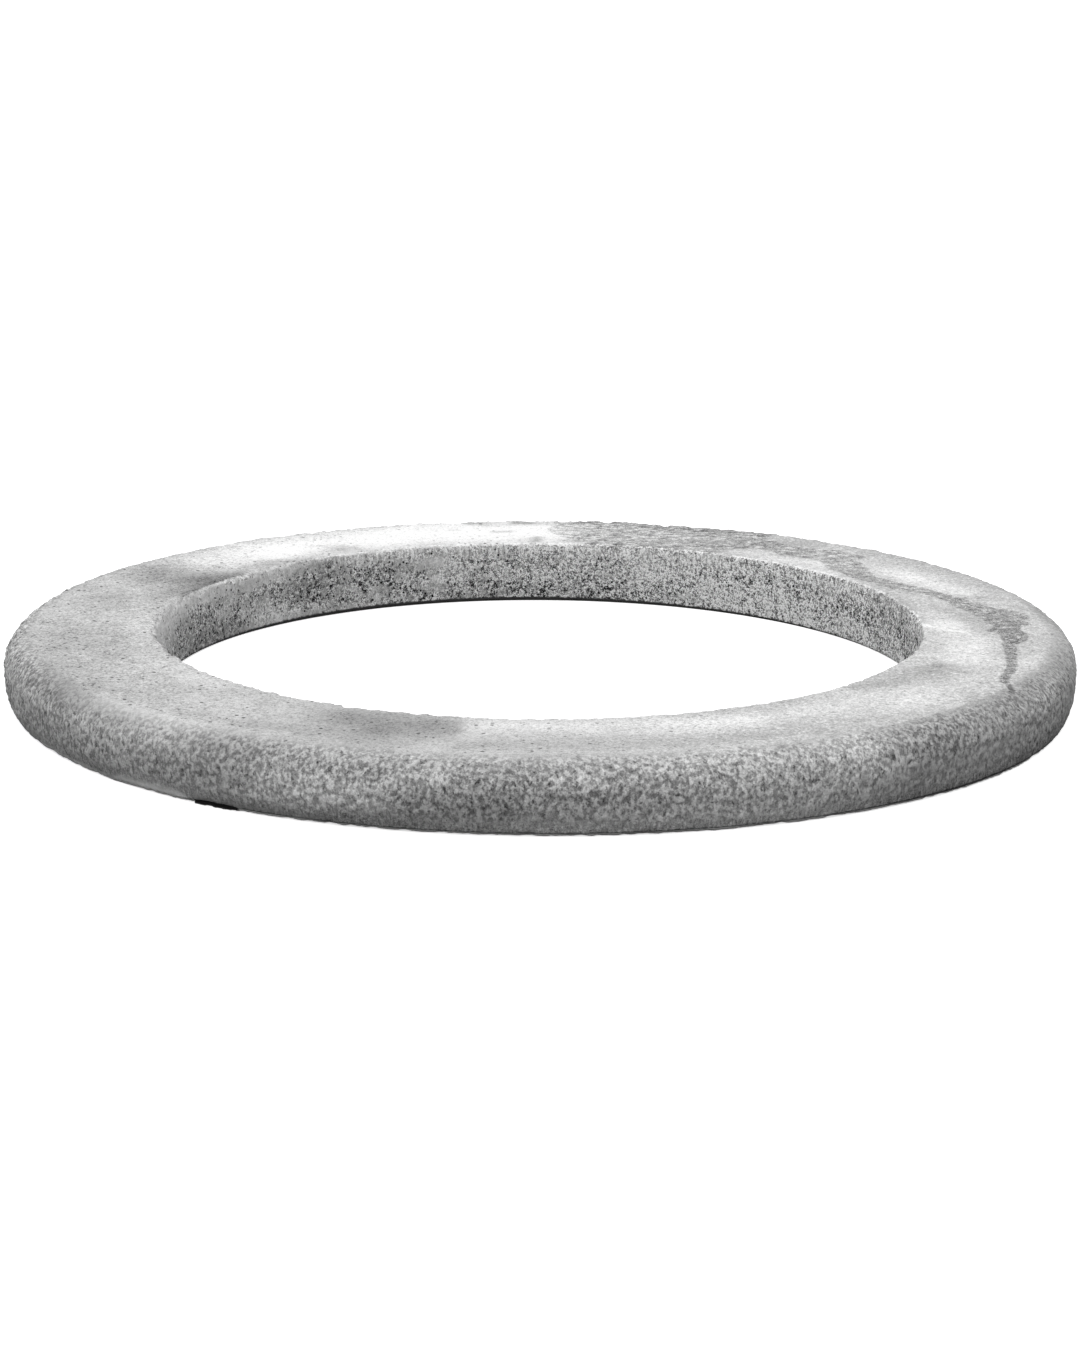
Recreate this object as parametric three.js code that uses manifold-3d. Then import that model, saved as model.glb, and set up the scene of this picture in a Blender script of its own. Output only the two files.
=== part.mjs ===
// Precast concrete culvert ring: a flat ring, cast in one piece, lying on its base.
// Lengths are millimetres and angles are degrees. +Z is up, along the bore, and the origin is
// the centre of the base, on the level ground that the ring lies on.

import * as THREE from "three";
import { mergeVertices } from "three/addons/utils/BufferGeometryUtils.js";
import Module from "manifold-3d";

// The casting
const BORE_DIAMETER = 750; // clear waterway, which is the ring's nominal size
const WALL_WIDTH = 150; // concrete from the bore to the outer face
const THICKNESS = 65; // from the base to the flat top
const NOSE_RADIUS = 30; // bullnose along the outer edge of the top
const FOOT_HEIGHT = 25; // below this the outer face draws in towards the base
const FOOT_DRAW = 6.5; // how far it draws in
const BASE_EDGE_RADIUS = 4; // worn outer edge of the base
const BORE_TOP_RADIUS = 4; // worn edge at the top of the bore
const BORE_BASE_RADIUS = 2; // worn edge at the bottom of the bore

// A spall: concrete broken out of the outer edge of the base
const SPALL_ANGLE = 237.5; // from +X, anticlockwise seen from above, to the spall's middle
const SPALL_LENGTH = 46; // along the edge
const SPALL_HEIGHT = 4; // up the outer face
const SPALL_DEPTH = 9; // in across the base

// Facets
const RING_STEPS = 128; // round the ring
const NOSE_STEPS = 12; // over the bullnose
const FOOT_STEPS = 4; // over the foot of the outer face
const EDGE_STEPS = 3; // over each worn edge
const SPALL_STEPS = 16; // round the spall's hollow

const QUARTER = Math.PI / 2;

const boreRadius = BORE_DIAMETER / 2;
const outerRadius = boreRadius + WALL_WIDTH;
const noseRadius = Math.min(NOSE_RADIUS, THICKNESS - FOOT_HEIGHT); // it ends above the foot

// The foot is an arc that leaves the upright face level with FOOT_HEIGHT and reaches the base
// FOOT_DRAW further in. The base edge is a small arc inside it that touches it and the base.
const footRadius = (FOOT_HEIGHT ** 2 + FOOT_DRAW ** 2) / (2 * FOOT_DRAW);
const footCentre = outerRadius - footRadius;
const edgeDrop = FOOT_HEIGHT - BASE_EDGE_RADIUS;
const edgeCentre = footCentre + Math.sqrt((footRadius - BASE_EDGE_RADIUS) ** 2 - edgeDrop ** 2);
const touchAngle = -Math.atan2(edgeDrop, edgeCentre - footCentre); // where the two arcs touch

const wasm = await Module();
wasm.setup();

// An arc of the ring's section, anticlockwise from startAngle to endAngle.
// The section's x is the radius and its y is the height.
function arc(x, y, radius, startAngle, endAngle, steps) {
  const curve = new THREE.EllipseCurve(x, y, radius, radius, startAngle, endAngle);
  return curve.getPoints(steps);
}

// The ring's section, anticlockwise from the base, with its first point again at the end.
function ringSection() {
  const edge = BASE_EDGE_RADIUS;
  const nose = noseRadius;
  const top = BORE_TOP_RADIUS;
  const base = BORE_BASE_RADIUS;
  const points = [
    ...arc(edgeCentre, edge, edge, -QUARTER, touchAngle, EDGE_STEPS),
    ...arc(footCentre, FOOT_HEIGHT, footRadius, touchAngle, 0, FOOT_STEPS).slice(1),
    ...arc(outerRadius - nose, THICKNESS - nose, nose, 0, QUARTER, NOSE_STEPS),
    ...arc(boreRadius + top, THICKNESS - top, top, QUARTER, 2 * QUARTER, EDGE_STEPS),
    ...arc(boreRadius + base, base, base, 2 * QUARTER, 3 * QUARTER, EDGE_STEPS),
  ];
  points.push(points[0].clone());
  return points;
}

// The whole ring, before it was damaged, standing on z = 0.
function ringGeometry() {
  const ring = new THREE.LatheGeometry(ringSection(), RING_STEPS);
  return ring.rotateX(QUARTER);
}

// The hollow that the spall leaves: half of a flattened ball, centred on the base's outer edge.
function spallGeometry() {
  const hollow = new THREE.SphereGeometry(1, SPALL_STEPS, SPALL_STEPS / 2);
  hollow.scale(SPALL_DEPTH, SPALL_LENGTH / 2, SPALL_HEIGHT);
  hollow.translate(outerRadius - FOOT_DRAW, 0, 0);
  return hollow.rotateZ(THREE.MathUtils.degToRad(SPALL_ANGLE));
}

// A closed three.js geometry as a manifold-3d solid.
function solidOf(geometry) {
  const bare = geometry.clone();
  bare.deleteAttribute("normal");
  bare.deleteAttribute("uv");
  const merged = mergeVertices(bare);
  return new wasm.Manifold(
    new wasm.Mesh({
      numProp: 3,
      vertProperties: merged.attributes.position.array,
      triVerts: new Uint32Array(merged.index.array),
    }),
  );
}

// A manifold-3d solid as a three.js geometry.
function geometryOf(solid) {
  const { vertProperties, triVerts } = solid.getMesh();
  const geometry = new THREE.BufferGeometry();
  geometry.setAttribute("position", new THREE.BufferAttribute(vertProperties, 3));
  geometry.setIndex(new THREE.BufferAttribute(triVerts, 1));
  geometry.computeVertexNormals();
  return geometry;
}

const concrete = new THREE.MeshStandardMaterial({
  color: 0xb4b4b4,
  roughness: 0.92,
  metalness: 0,
  flatShading: true,
});

const ring = solidOf(ringGeometry());
const spall = solidOf(spallGeometry());

const culvertRing = new THREE.Mesh(geometryOf(ring.subtract(spall)), concrete);
culvertRing.name = "culvert_ring";

const group = new THREE.Group();
group.add(culvertRing);

export default group;
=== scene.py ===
"""Looks of the precast concrete culvert ring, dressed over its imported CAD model.

The ring is one casting, so it is one mesh: the CAD section swept round in fine steps, with the
cast surface's lumps, worn arrises, spalls and blowholes as real shape, and one concrete material.
Lengths are metres. The stains' places in plan are millimetres, x to the right and y away, and
angles are degrees round the ring from +X.
"""

import math
import random

import bpy
import numpy as np
from mathutils import Matrix, Vector, noise


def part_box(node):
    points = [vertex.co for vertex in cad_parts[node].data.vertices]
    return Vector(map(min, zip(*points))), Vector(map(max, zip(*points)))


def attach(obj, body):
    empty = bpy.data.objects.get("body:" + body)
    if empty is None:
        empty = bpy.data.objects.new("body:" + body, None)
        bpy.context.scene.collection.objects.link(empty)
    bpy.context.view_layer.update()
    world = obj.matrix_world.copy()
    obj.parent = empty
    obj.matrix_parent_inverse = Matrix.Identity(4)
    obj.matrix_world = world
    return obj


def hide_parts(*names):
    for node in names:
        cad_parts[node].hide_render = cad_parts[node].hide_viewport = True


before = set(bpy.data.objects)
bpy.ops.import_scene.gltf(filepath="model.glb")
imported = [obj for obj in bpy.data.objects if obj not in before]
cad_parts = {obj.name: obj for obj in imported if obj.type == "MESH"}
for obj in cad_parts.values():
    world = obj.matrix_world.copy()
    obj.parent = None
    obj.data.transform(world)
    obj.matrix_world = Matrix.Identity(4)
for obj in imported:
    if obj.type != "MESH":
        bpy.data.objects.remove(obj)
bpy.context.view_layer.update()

NODE = "culvert_ring"
MM = 0.001

# The section, as the CAD model has it. Outer radius and thickness come from the frame.
LOW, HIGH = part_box(NODE)
OUTER_RADIUS = (HIGH.x - LOW.x) / 2
THICKNESS = HIGH.z
WALL_WIDTH = 150 * MM
BORE_RADIUS = OUTER_RADIUS - WALL_WIDTH
NOSE_RADIUS = 30 * MM
FOOT_HEIGHT = 25 * MM  # below this the outer face draws in towards the base
FOOT_DRAW = 6.5 * MM  # how far it draws in
BASE_EDGE_RADIUS = 4 * MM
BORE_TOP_RADIUS = 4 * MM
ARRIS_IN_BORE = 1.2 * MM  # how much of the arris is treated as the bore
BORE_BASE_RADIUS = 2 * MM
BASE_RADIUS = OUTER_RADIUS - FOOT_DRAW

# Steps round the ring: the rough outside and the worn arris are twice as fine as the rest.
FINE = 1440
COARSE = FINE // 2
FINE_ON_TOP = 12 * MM  # how far the fine steps reach over the top from the bore
FINE_IN_BORE = 11 * MM  # how far they reach down the bore

# Zones of the surface
SIDE, TOP, BORE, BASE = range(4)


# -------- the section's rings of points

def section_rings():
    """Walks once round the section and returns its points as rows of r, z, normal r, normal z,
    steps round, zone."""
    rows = []

    def line(start, end, count, normal, steps, zone):
        for k in range(count):
            t = k / count
            r = start[0] + (end[0] - start[0]) * t
            z = start[1] + (end[1] - start[1]) * t
            rows.append((r, z, *normal, steps, zone))

    def arc(centre, radius, start, end, count, steps, zone):
        for k in range(count):
            a = start + (end - start) * k / count
            c, s = math.cos(a), math.sin(a)
            rows.append((centre[0] + radius * c, centre[1] + radius * s, c, s, steps, zone))

    edge, nose, top, base = BASE_EDGE_RADIUS, NOSE_RADIUS, BORE_TOP_RADIUS, BORE_BASE_RADIUS
    r0, r1, h = BORE_RADIUS, OUTER_RADIUS, THICKNESS
    nose_start = r1 - nose
    near_arris = r0 + FINE_ON_TOP
    below_arris = h - FINE_IN_BORE
    quarter = math.pi / 2

    # the foot is a wide arc, and the base edge a small one inside it that touches it
    foot = (FOOT_HEIGHT ** 2 + FOOT_DRAW ** 2) / (2 * FOOT_DRAW)
    reach = math.sqrt((foot - edge) ** 2 - (FOOT_HEIGHT - edge) ** 2)
    edge_centre = r1 - foot + reach
    touch = -math.atan2(FOOT_HEIGHT - edge, reach)

    # the count of each arc and line is its number of rows
    arc((edge_centre, edge), edge, -quarter, touch, 2, FINE, SIDE)
    arc((r1 - foot, FOOT_HEIGHT), foot, touch, 0, 9, FINE, SIDE)
    line((r1, FOOT_HEIGHT), (r1, h - nose), 4, (1, 0), FINE, SIDE)
    arc((nose_start, h - nose), nose, 0, quarter, 20, FINE, SIDE)
    line((nose_start, h), (near_arris, h), 16, (0, 1), COARSE, TOP)
    line((near_arris, h), (r0 + top, h), 4, (0, 1), FINE, TOP)
    arc((r0 + top, h - top), top, quarter, 2 * quarter, 4, FINE, TOP)
    line((r0, h - top), (r0, below_arris), 3, (-1, 0), FINE, BORE)
    line((r0, below_arris), (r0, base), 16, (-1, 0), COARSE, BORE)
    arc((r0 + base, base), base, 2 * quarter, 3 * quarter, 1, COARSE, BORE)
    line((r0 + base, 0), (edge_centre, 0), 2, (0, -1), COARSE, BASE)
    return rows


def swept_grid():
    """Points, normals, zones and faces of the whole ring before it is roughened."""
    rows = section_rings()
    points, normals, zones, starts = [], [], [], []
    for r, z, nr, nz, steps, zone in rows:
        starts.append(len(points))
        for k in range(steps):
            a = 2 * math.pi * k / steps
            c, s = math.cos(a), math.sin(a)
            points.append((r * c, r * s, z))
            normals.append((nr * c, nr * s, nz))
            zones.append(zone)

    quads, triangles = {}, []
    for i, row in enumerate(rows):
        j = (i + 1) % len(rows)
        a0, b0 = starts[i], starts[j]
        na, nb = row[4], rows[j][4]
        if na == nb:
            for k in range(na):
                m = (k + 1) % na
                quads[i, k] = (a0 + k, a0 + m, b0 + m, b0 + k)
            continue
        fine, coarse = (a0, b0) if na > nb else (b0, a0)
        for k in range(COARSE):
            m = (k + 1) % COARSE
            f0, f1, f2 = fine + 2 * k, fine + 2 * k + 1, fine + 2 * m
            seam = [(f0, f1, coarse + k), (f1, coarse + m, coarse + k), (f1, f2, coarse + m)]
            triangles += seam if na > nb else [face[::-1] for face in seam]
    return np.array(points), np.array(normals), np.array(zones), rows, quads, triangles


# -------- roughness of the casting

def field(points, size, seed, octaves=1):
    """Smooth noise of about -1 to 1 at the points, with lumps of about the given size."""
    shift = Vector((seed * 13.7, seed * -7.3, seed * 3.1))
    scale = 1 / size
    return np.array([
        noise.fractal(Vector(p) * scale + shift, 1.0, 2.0, octaves) for p in points.tolist()
    ])


def smooth_step(low, high, value):
    t = np.clip((value - low) / (high - low), 0, 1)
    return t * t * (3 - 2 * t)


# Spalls: angle round the ring in degrees, then length along the edge, depth across the flat
# face and depth down the upright face, in millimetres. The base's spall is the CAD model's own,
# nearly filled in, and painted black there as painted shadow in its hollow.
BASE_SPALL = (237.5, 46, 2.5, 4)
RIM_SPALL = (73.9, 12, 26, 3.8)
BORE_SPALLS = [(243.2, 15, 9, 6), (234.6, 10, 5, 4), (252.4, 9, 4, 3), (255.6, 12, 4, 3)]
SMALL_SPALLS = 110  # along the bore's arris
SMALL_LENGTH, SMALL_DEPTH = (4, 11), (1.5, 3.5)  # their least and greatest sizes
SMALL_WIDENING = 1.3  # how much wider than deep they are
INTO_BASE_EDGE, INTO_BORE_ARRIS, STRAIGHT_DOWN = (-0.7, 0.7), (0.7, -0.7), (0.0, -1.0)
BLUNT, ROUND = 6, 2  # how square the ends of a spall are
SHADOW_SKIRT, SHADOW_SKIRT_HEIGHT = 5, 1.8  # how far a skirt, painted dark as the spall's shadow on the floor, stands out at the floor, and how thick
SHADOW_ROOM = 2.5  # how far up points count as in line with the spall, for its painted shadow, as a share of its height
WORN_ANGLE, WORN_REACH = 205, 60  # where the bore's arris is worn most, in degrees


def spall(points, edge_radius, edge_height, into, power, angle, length, across, down):
    """Cuts an ellipsoid, centred on the edge, out of the points by pushing them into the
    concrete; into is the section direction from the edge into the concrete, and a power above
    2 squares its ends. Returns which points are in it or just above it."""
    a = math.radians(angle)
    axis = np.array([math.cos(a), math.sin(a)])
    side = np.array([-axis[1], axis[0]])
    t = points[:, :2] @ side / (length / 2 * MM)
    u = (points[:, :2] @ axis - edge_radius) / (across * MM)
    v = (points[:, 2] - edge_height) / (down * MM)
    ends = np.abs(t) ** power
    level = ends + u * u + v * v
    ahead = points[:, :2] @ axis > 0
    near = (level < 1) & ahead
    in_line = (np.abs(t) < 1) & (np.abs(u) < 4) & (v < SHADOW_ROOM) & ahead
    # how far each near point goes to leave the ellipsoid
    du, dv = into[0] / (across * MM), into[1] / (down * MM)
    ends, u, v = ends[near], u[near], v[near]
    qa = du * du + dv * dv
    qb = 2 * (u * du + v * dv)
    qc = ends + u * u + v * v - 1
    step = (-qb + np.sqrt(qb * qb - 4 * qa * qc)) / (2 * qa)
    points[near, :2] += np.outer(step * into[0], axis)
    points[near, 2] += step * into[1]
    return in_line


# The casting is a little out of round: middle angle, reach in degrees, and how far the outside
# swells there, in millimetres, at its widest level and at its foot.
SWELLS = [(43, 16, 3.5, 2), (314, 20, 1.5, 5), (347, 9, -1.5, -1.5)]
# Where the top's outer edge is rougher: middle angle, reach in degrees, height in millimetres.
ROUGH_RIM = (88, 50, 1.6)
# Where the lumps of the outside are higher: middle angle, reach in degrees, and share more.
ROUGH_END = (184, 16, 0.7)
# Where the top of the bore is wider (+) or narrower (-): middle angle, reach in degrees, and
# how far, in millimetres.
BORE_FLARES = [(184, 20, 3.5), (4, 12, -1.5), (322, 18, -3)]
# How high the lumps are, then the slow waves and the ripples of the mould, in millimetres.
SIDE_LUMPS, BORE_LUMPS, FLAT_LUMPS = 1.5, 0.9, 0.2
TOP_WAVES, OTHER_WAVES, RIPPLES = 0.5, 0.6, 0.35
# How far the bore's arris is worn sideways and down, and the base's edge sideways and up.
ARRIS_WEAR, EDGE_WEAR = (1.3, 0.7), (0.7, 0.8)


def bell(angle, middle, reach):
    gap = (angle - middle + 180) % 360 - 180
    return np.exp(-((gap / reach) ** 2))


def cast_relief(points, zones, radius, angle):
    """Lumps of the rough sides, which fade out over the shoulder and near the base, and how far
    each point is pushed out by them and by the mould's unevenness, in millimetres."""
    relief = field(points, 5.5 * MM, 1, 2) * (0.8 + 0.5 * field(points, 70 * MM, 2, 2))
    shoulder = smooth_step(OUTER_RADIUS - 36 * MM, OUTER_RADIUS - 12 * MM, radius)
    foot = smooth_step(1 * MM, 14 * MM, points[:, 2])
    amount = np.where(zones == SIDE, SIDE_LUMPS * shoulder * (0.3 + 0.7 * foot), FLAT_LUMPS)
    amount = np.where(zones == BORE, BORE_LUMPS * (0.4 + 0.6 * foot), amount)
    middle, reach, more = ROUGH_END
    amount *= 1 + more * bell(angle, middle, reach) * (zones == SIDE)
    push = relief * amount
    push += np.where(zones == TOP, TOP_WAVES, OTHER_WAVES) * field(points, 140 * MM, 3, 2)
    push += RIPPLES * field(points, 28 * MM, 4, 2)
    push[zones == BASE] = 0
    return relief, push


def distort(points, normals, outward, radius, angle):
    """Adds the outside's swells, its rougher rim, and the bore's flares."""
    height = points[:, 2]
    level = smooth_step(FOOT_HEIGHT, 0, height)
    outside = smooth_step(OUTER_RADIUS - 40 * MM, OUTER_RADIUS - 10 * MM, radius)
    for middle, reach, wide, low in SWELLS:
        swell = outside * bell(angle, middle, reach) * (wide + (low - wide) * level)
        points[:, :2] += outward * (swell * MM)[:, None]

    middle, reach, rise = ROUGH_RIM
    rim = smooth_step(OUTER_RADIUS - 55 * MM, OUTER_RADIUS - 25 * MM, radius)
    rim *= (height > NOSE_RADIUS) * (0.25 + bell(angle, middle, reach))
    points += normals * (rim * rise * field(points, 11 * MM, 8, 3) * MM)[:, None]

    near_bore = 1 - smooth_step(BORE_RADIUS + 4 * MM, BORE_RADIUS + 34 * MM, radius)
    near_bore *= smooth_step(25 * MM, 60 * MM, height)
    for middle, reach, wide in BORE_FLARES:
        flare = near_bore * bell(angle, middle, reach) * wide
        points[:, :2] += outward * (flare * MM)[:, None]


def wear_edges(points, outward, radius, angle):
    """Wears the bore's arris unevenly, and makes the base's outer edge ragged."""
    height = points[:, 2]
    gap = np.hypot(radius - BORE_RADIUS, height - THICKNESS) / MM
    worn = 0.3 + 1.2 * np.exp(-(((angle - WORN_ANGLE) / WORN_REACH) ** 2))
    wear = np.clip(1 + 2.4 * field(points, 10 * MM, 5, 3), 0, 3) * worn * np.exp(-((gap / 5) ** 2))
    sideways, down = ARRIS_WEAR
    points[:, :2] += outward * (wear * sideways * MM)[:, None]
    points[:, 2] -= wear * down * MM

    gap = np.hypot(radius - BASE_RADIUS, height) / MM
    wear = np.clip(0.3 + 1.5 * field(points, 12 * MM, 6, 3), 0, 2) * np.exp(-((gap / 4) ** 2))
    sideways, up = EDGE_WEAR
    points[:, :2] -= outward * (wear * sideways * MM)[:, None]
    points[:, 2] += wear * up * MM


def cut_spalls(points):
    """Cuts all the spalls, and pushes a thin skirt out of the base's at the floor, which is painted
    as its shadow there. Returns 1 where that spall's painted shadow goes, 0 elsewhere."""
    shadowed_spall = np.zeros(len(points))
    shadowed_spall[spall(points, BASE_RADIUS, 0, INTO_BASE_EDGE, BLUNT, *BASE_SPALL)] = 1
    # a thin skirt at the floor, painted dark as the spall's shadow on the floor
    low = shadowed_spall * np.clip(1 - points[:, 2] / (SHADOW_SKIRT_HEIGHT * MM), 0, 1)
    skirt = low * SHADOW_SKIRT * (0.8 + 0.5 * field(points, 7 * MM, 14)) * MM
    points[:, :2] += points[:, :2] / np.hypot(*points[:, :2].T)[:, None] * skirt[:, None]
    for where in BORE_SPALLS:
        spall(points, BORE_RADIUS, THICKNESS, INTO_BORE_ARRIS, ROUND, *where)
    spall(points, OUTER_RADIUS - NOSE_RADIUS, THICKNESS, STRAIGHT_DOWN, ROUND, *RIM_SPALL)
    rng = random.Random(7)
    for k in range(SMALL_SPALLS):
        angle = rng.gauss(WORN_ANGLE, WORN_REACH) if k % 2 else rng.uniform(0, 360)
        length = rng.uniform(*SMALL_LENGTH)
        deep = rng.uniform(*SMALL_DEPTH)
        where = (angle, length, deep * SMALL_WIDENING, deep)
        spall(points, BORE_RADIUS, THICKNESS, INTO_BORE_ARRIS, ROUND, *where)
    return shadowed_spall


def roughen(points, normals, zones):
    """Moves the swept points to the cast surface. Returns the relief of its lumps, and 1 where the
    base's spall and its painted shadow are, 0 elsewhere."""
    radius = np.hypot(points[:, 0], points[:, 1])
    angle = np.degrees(np.arctan2(points[:, 1], points[:, 0])) % 360
    relief, push = cast_relief(points, zones, radius, angle)
    points += normals * (push * MM)[:, None]
    outward = points[:, :2] / radius[:, None]
    distort(points, normals, outward, radius, angle)
    wear_edges(points, outward, radius, angle)
    shadowed_spall = cut_spalls(points)
    points[:, 2] = np.maximum(points[:, 2], 0)
    return relief, shadowed_spall


# -------- blowholes

HOLE_SIDES = 6
# how much painted shade the inside of a blowhole gets, from 0 to 1
HOLE_SHADE_SHARE = 0.75
HOLE_CENTRE = (0.45, 0.55)  # as a share of the cell
HOLE_RIM, HOLE_DEPTH = (0.8, 1.15), (1.1, 1.8)  # as a share of the hole's radius
HOLE_FOOT, HOLE_WALL = 0.72, 0.7  # where the wall ends, as a share of the rim and the depth
HOLE_ROOM = 0.38  # greatest radius, as a share of the cell's shorter side
# Zone, number of holes, least and greatest radius in millimetres
HOLES = [(BORE, 240, 0.7, 1.3), (TOP, 110, 0.6, 1.2), (SIDE, 50, 0.6, 0.85)]


def bridge(outer, inner, angle_of):
    """Triangles between two loops round one centre, both sorted by angle."""
    turn = 2 * math.pi
    outer_ends = [angle_of(k) for k in outer[1:]] + [angle_of(outer[0]) + turn]
    inner_ends = [angle_of(k) for k in inner[1:]] + [angle_of(inner[0]) + turn]
    outer, inner = outer + outer[:1], inner + inner[:1]
    faces = []
    i = j = 0
    while i < len(outer_ends) or j < len(inner_ends):
        inner_done = j == len(inner_ends)
        if inner_done or (i < len(outer_ends) and outer_ends[i] <= inner_ends[j]):
            faces.append((outer[i], outer[i + 1], inner[j]))
            i += 1
        else:
            faces.append((outer[i], inner[j + 1], inner[j]))
            j += 1
    return faces


def sink_hole(corners, radius, depth, rng, points, sunk):
    """Replaces one cell by a round hole with an uneven rim. Adds its points to points, and the
    painted shade of each one, from 0 to 1, to its list of hole shades. Returns the faces."""
    a, b, c, d = (Vector(points[k]) for k in corners)
    u, v = rng.uniform(*HOLE_CENTRE), rng.uniform(*HOLE_CENTRE)
    centre = a.lerp(b, u).lerp(d.lerp(c, u), v)
    along = (b - a + c - d).normalized()
    normal = along.cross(d - a + c - b).normalized()
    across = normal.cross(along)
    rim, foot = [], []
    for k in range(HOLE_SIDES):
        turn = 2 * math.pi * (k + 0.5) / HOLE_SIDES
        reach = radius * rng.uniform(*HOLE_RIM)
        offset = along * (reach * math.cos(turn)) + across * (reach * math.sin(turn))
        rim.append(len(points))
        points.append(tuple(centre + offset))
        foot.append(len(points))
        points.append(tuple(centre + offset * HOLE_FOOT - normal * depth * HOLE_WALL))
        sunk += [0.0, HOLE_SHADE_SHARE]
    bottom = len(points)
    points.append(tuple(centre - normal * depth))
    sunk.append(HOLE_SHADE_SHARE)

    def angle_of(index):
        gap = Vector(points[index]) - centre
        return math.atan2(gap.dot(across), gap.dot(along)) % (2 * math.pi)

    faces = bridge(sorted(corners, key=angle_of), sorted(rim, key=angle_of), angle_of)
    for k in range(HOLE_SIDES):
        m = (k + 1) % HOLE_SIDES
        faces.append((rim[k], rim[m], foot[m], foot[k]))
        faces.append((foot[k], foot[m], bottom))
    return faces


def cut_holes(points, rows, quads):
    """Cuts blowholes into single cells. Returns all points, the painted shade of each new one,
    and the holes' faces."""
    rng = random.Random(23)
    points, sunk, faces = points.tolist(), [], []
    for zone, count, least, most in HOLES:
        free = []
        for i, k in quads:
            if rows[i][-1] == zone == rows[(i + 1) % len(rows)][-1]:
                free.append((i, k))
        for key in rng.sample(free, count):
            corners = quads.pop(key)
            a, b, _, d = (Vector(points[k]) for k in corners)
            room = min((b - a).length, (d - a).length)
            radius = min(rng.uniform(least, most) * MM, room * HOLE_ROOM)
            depth = radius * rng.uniform(*HOLE_DEPTH)
            faces += sink_hole(corners, radius, depth, rng, points, sunk)
    return np.array(points), sunk, faces


# -------- stains on the top, in plan

# Damp grey stain with a crisp edge: its outline, then the thin run that leaves it.
DAMP_OUTLINE = [
    (10, 542), (14, 481), (8, 456), (6, 441), (12, 426), (20, 414), (27, 405), (36, 395),
    (12, 390), (52, 381), (46, 376), (60, 350), (188, 299), (193, 321), (200, 337), (215, 349),
    (235, 351), (250, 344), (256, 329), (260, 314), (275, 307), (290, 302), (300, 289),
    (304, 273), (303, 256), (310, 241), (318, 230), (322, 213), (326, 203), (338, 188),
    (350, 169), (366, 147), (390, 132), (404, 112), (412, 92), (418, 66), (428, 46),
    (436, 21), (442, 1), (446, -16), (440, -28), (432, -35), (440, -41), (446, -49),
    (445, -73), (449, -95), (454, -95), (464, -83), (471, -71), (474, -50), (469, -30),
    (474, -15), (485, -7), (479, 8), (487, 26), (482, 46), (468, 58), (450, 70), (446, 84),
    (436, 88), (428, 112), (418, 127), (405, 142), (394, 160), (376, 179), (362, 198),
    (352, 213), (348, 238), (348, 266), (344, 283), (336, 290), (346, 301), (354, 311),
    (346, 319), (338, 327), (328, 344), (312, 349), (296, 351), (284, 361), (270, 371),
    (260, 390), (258, 410), (257, 440), (282, 475), (150, 541),
]
DAMP_RUN = [
    (449, -90, 6.5), (448, -110, 6.3), (444, -146, 5.0), (440, -181, 5.4), (434, -203, 4.8),
    (427, -221, 4.8), (424, -238, 4.2), (426, -256, 2.6), (428, -280, 3.2), (429, -302, 3.0),
]

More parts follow.
